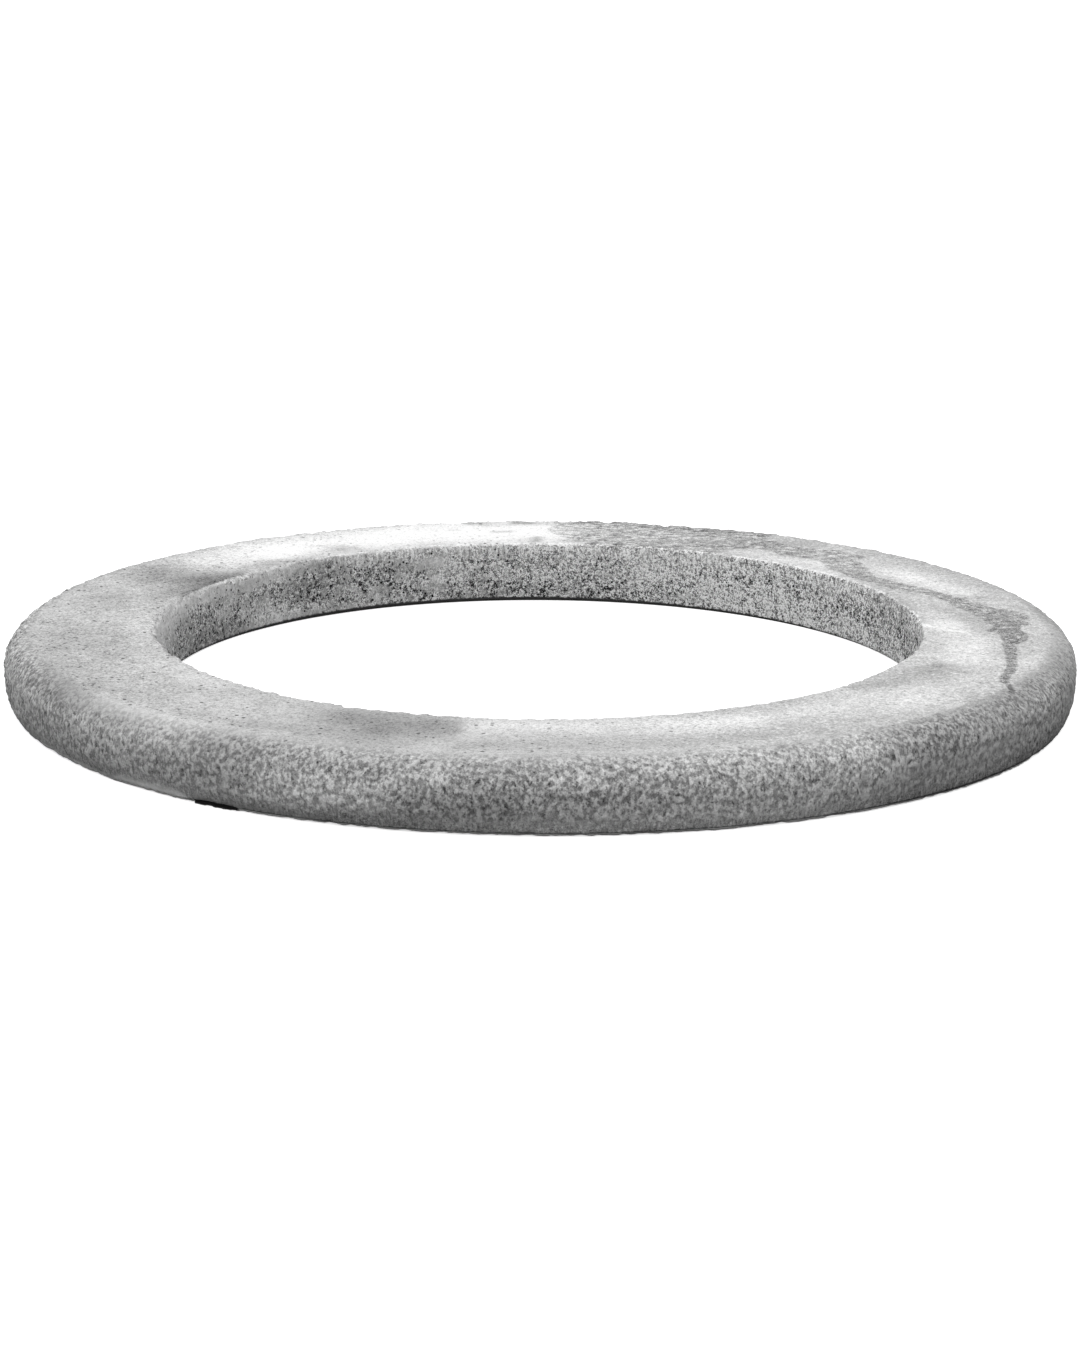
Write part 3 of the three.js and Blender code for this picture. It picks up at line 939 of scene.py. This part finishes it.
def bore_tone(g):
    """Pale, with gaps and fissures, drip streaks below the arris, smooth patches and pinholes,
    which are painted dark as painted shade. The right half is grainier and has fewer of these.
    Returns the pinholes as well."""
    cluster = g.minus(g.noise(g.place, 42, 2, 0.5), g.times(g.shade, 1.5))
    cluster = g.ramp(cluster, 0.40, 0.60)
    pale = g.ramp(g.plus(g.lump, g.times(g.relief, 0.10)), 0.40, 0.58)
    sharp = g.ramp(g.across, -0.25, 0.10, 1.45, 2.05)
    texture = g.texture(clump=g.by_half(0.40, 0.46), fleck=g.by_half(0.60, 1.05), grain=sharp)
    light_flecks = g.times(g.ramp(g.fleck, 0.54, 0.62), g.by_half(0.05, 0.18))
    texture = g.plus(texture, g.spread(pale, g.by_half(0.30, 0.38)), light_flecks)
    texture = g.plus(texture, bore_gaps(g, cluster))
    busy_left = g.ramp(g.noise(g.place, 12, 2, 0.5), 0.40, 0.56, 0.50, 1.30)
    busy_right = g.ramp(g.noise(g.place, 26, 2, 0.5), 0.38, 0.60, 0.70, 1.20)
    busy = g.times(g.by_half(busy_left, busy_right), g.minus(1.0, g.calm))

    lip = g.ramp(g.down, 6, 2, 0.0, -0.08)
    tone = g.plus(g.ramp(g.down, 2, 24, 1.05, 0.97), lip, g.shade, g.spread(g.patch, 0.36))
    tone = g.plus(tone, g.times(busy, texture))
    drips = g.times(g.ramp(g.down, 22, 8), g.ramp(g.runs, 0.46, 0.60, 0.0, 0.21))
    tone = g.minus(tone, drips)
    skin_tone = g.plus(BORE_SKIN_TONE, g.shade, g.texture(patch=0.1, runs=0.50, fleck=0.3))
    tone = g.mix(g.smooth, tone, skin_tone)

    pinholes = g.times(g.dots(g.place, 3.7, 1.35, 0.55), g.ramp(g.down, 3, 20, 0.5, 1.0))
    pinholes = g.times(pinholes, g.mix(cluster, 0.45, 1.0))
    wider = g.times(g.dots(g.place, 8.0, 1.6, 0.6), g.left_half)
    wider = g.times(wider, g.minus(1.1, g.times(g.smooth, 1.2)))
    pinholes = g.math("MAXIMUM", pinholes, wider)
    # the pinholes are painted dark, painted shade in their dips
    tone = g.mix(g.times(pinholes, 0.85), tone, PINHOLE_SHADE_TONE)
    # painted light on the left of the bore and painted shade on its right, offsetting the sky's lean
    # to the front left
    return g.times(tone, g.ramp(g.across, -0.40, 0.30, 0.86, 0.742)), pinholes


def with_painted_contact_shadow(g, tone):
    """The tone with a painted contact shadow, a dark line where the casting meets the floor
    inside and out, and with the painted shadow in the base's spall and on the skirt in front of it."""
    # painted contact shadow: a dark band from the floor up, in the bore taller at the back and
    # thinner on the right
    contact_shadow_height = g.ramp(g.away, 0.10, 0.34, 1.2 * MM, 3.4 * MM)
    contact_shadow_height = g.plus(contact_shadow_height, g.ramp(g.across, 0, 0.25, 0, -1.4 * MM))
    outer_shadow_height = g.ramp(g.across, -0.31, -0.24, 1.8 * MM, 2.5 * MM)
    outer_shadow_height = g.plus(outer_shadow_height, g.ramp(g.across, 0.22, 0.40, 0, MM))
    contact_shadow_height = g.mix(g.bore, outer_shadow_height, contact_shadow_height)
    above_contact_shadow = g.plus(g.height, g.texture(lump=3 * MM))
    above_contact_shadow = g.ramp(above_contact_shadow, contact_shadow_height, g.plus(contact_shadow_height, 2.0 * MM))
    # outside, the lowest millimetres only look dark from their shadow
    outer_shadow_tone = g.ramp(g.height, 2.3 * MM, 3.8 * MM, FOOT_TONE_IN_SHADOW, CONTACT_SHADOW_TONE)
    tone = g.mix(above_contact_shadow, g.mix(g.bore, outer_shadow_tone, BORE_CONTACT_SHADOW_TONE), tone)

    # painted shadow: black in the base's spall, grey on the skirt at the floor
    spall_shadow_share = g.ramp(g.plus(g.height, g.texture(lump=2 * MM)), 4.4 * MM, 3.4 * MM)
    spall_shadow_tone = g.ramp(g.height, 0.2 * MM, 1.2 * MM, SKIRT_SHADOW_TONE, SPALL_SHADOW_TONE)
    return g.mix(g.times(g.spall_shadow, spall_shadow_share), tone, spall_shadow_tone)


def fine_bump(g, rough_share, pinholes):
    """Shading of the relief that is finer than the mesh."""
    coarse = g.times(g.mix(g.side, g.lump, g.lump_tall), g.mix(rough_share, 0.25, 1.1))
    height = g.plus(coarse, g.times(g.fleck, 0.4), g.times(g.grain, 0.25))
    height = g.minus(height, g.times(g.times(pinholes, g.bore), 0.9))
    inputs = {"Height": height, "Strength": 0.8, "Distance": 1.2 * MM}
    return g.add("Bump", inputs).outputs[0]


def concrete_material():
    material = bpy.data.materials.new("concrete")
    g = Concrete(material)
    wet, streaks = damp_stain(g)
    tone = g.mix(g.side, top_tone(g, wet, streaks), side_tone(g, wet))
    in_bore, pinholes = bore_tone(g)
    # painted contact shadow along the base, and painted shadow in the base's spall
    tone = with_painted_contact_shadow(g, g.mix(g.bore, tone, in_bore))
    # painted shade inside the blowholes
    tone = g.mix(g.sunk, tone, BLOWHOLE_SHADE_TONE)
    tone = g.math("MINIMUM", g.math("MAXIMUM", tone, DARKEST), PALEST)

    rough_share = g.math("MAXIMUM", g.side, g.bore)
    g.surface({
        "Base Color": g.math("POWER", tone, TONE_POWER),
        "Roughness": g.mix(rough_share, TOP_ROUGHNESS, SIDE_ROUGHNESS),
        "Specular IOR Level": SHEEN,
        "Normal": fine_bump(g, rough_share, pinholes),
    })
    return material


# -------- stage, light and camera

FLOOR_REACH = 60.0
FLOOR_GAP = 0.2 * MM  # between the base and the floor
FLOOR_GREY, FLOOR_GLOW = 0.98, 0.60

SKY_OVERHEAD = 0.45
SKY_AT_HORIZON = 1.8  # on top of the sky overhead
SKY_LEAN = 0.30  # how much brighter the sky is on the side that it leans to
SKY_LEAN_ANGLE = 210  # where that side is, in degrees round the ring
LAMP = 1.5
LAMP_SPREAD = 110


def floor_material():
    material = bpy.data.materials.new("floor_paint")
    Graph(material).surface({
        "Base Color": (FLOOR_GREY, FLOOR_GREY, FLOOR_GREY, 1),
        "Roughness": 0.95,
        "Specular IOR Level": 0.0,
        "Emission Color": (1, 1, 1, 1),
        "Emission Strength": FLOOR_GLOW,
    })
    return material


def build_stage():
    """A white floor, far wider than the picture, that throws no light on to the ring."""
    mesh = bpy.data.meshes.new("floor")
    r = FLOOR_REACH
    mesh.from_pydata([(-r, -r, 0), (r, -r, 0), (r, r, 0), (-r, r, 0)], [], [(0, 1, 2, 3)])
    floor = bpy.data.objects.new("floor", mesh)
    floor.location.z = -FLOOR_GAP
    mesh.materials.append(floor_material())
    bpy.context.scene.collection.objects.link(floor)
    floor.visible_diffuse = False
    floor.visible_glossy = False


def build_light():
    """A pale sky that is brightest near the horizon and towards the front left, nothing below
    it, and a wide soft lamp overhead."""
    scene = bpy.context.scene
    world = bpy.data.worlds.new("studio")
    g = Graph(world)
    direction = g.add("TexCoord", {}).outputs["Generated"]
    split = g.add("SeparateXYZ", {0: direction})
    across, away, rise = (split.outputs[axis] for axis in "XYZ")
    level = g.math("POWER", g.minus(1.0, g.math("MAXIMUM", rise, 0.0)), 2.0)
    sky = g.plus(g.times(level, SKY_AT_HORIZON), SKY_OVERHEAD)
    lean = math.radians(SKY_LEAN_ANGLE)
    x, y = SKY_LEAN * math.cos(lean), SKY_LEAN * math.sin(lean)
    sky = g.times(sky, g.plus(g.times(across, x), g.times(away, y), 1.0))
    sky = g.times(sky, g.math("GREATER_THAN", rise, 0.0))
    back = g.add("Background", {"Strength": sky})
    g.add("OutputWorld", {"Surface": back.outputs[0]})
    scene.world = world

    lamp = bpy.data.lights.new("overhead", "SUN")
    lamp.energy = LAMP
    lamp.angle = math.radians(LAMP_SPREAD)
    overhead = bpy.data.objects.new("overhead", lamp)
    scene.collection.objects.link(overhead)
    scene.view_settings.view_transform = "Standard"


# Where the photographer stood: the camera's lens, tilt, distance from the ring's centre, and the
# small roll and offset of its framing. Angles are degrees, and pixels are the photograph's.
PICTURE_HIGH = 1350
FOCAL_PIXELS = 3133
ELEVATION = 14.262
DISTANCE = 3.1172
ROLL = 0.299
CENTRE_RIGHT, CENTRE_DOWN = 1.33, 8.64
SENSOR = 36.0


def build_camera():
    data = bpy.data.cameras.new("camera")
    data.sensor_width = SENSOR
    data.lens = FOCAL_PIXELS / PICTURE_HIGH * SENSOR
    camera = bpy.data.objects.new("camera", data)
    tilt = math.radians(ELEVATION)
    position = Vector((0, -math.cos(tilt), math.sin(tilt))) * DISTANCE
    pitch = math.pi / 2 - tilt + math.atan(CENTRE_DOWN / FOCAL_PIXELS)
    yaw = math.atan(CENTRE_RIGHT / FOCAL_PIXELS)
    turn = Matrix.Rotation(yaw, 4, "Z") @ Matrix.Rotation(pitch, 4, "X")
    roll = Matrix.Rotation(math.radians(ROLL), 4, "Z")
    camera.matrix_world = Matrix.Translation(position) @ turn @ roll
    bpy.context.scene.collection.objects.link(camera)
    bpy.context.scene.camera = camera


# -------- everything together

build_camera()
build_light()
build_stage()

casting = bpy.data.objects.new("concrete_ring_casting", ring_mesh())
casting.data.materials.append(concrete_material())
bpy.context.scene.collection.objects.link(casting)
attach(casting, "root")
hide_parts(NODE)
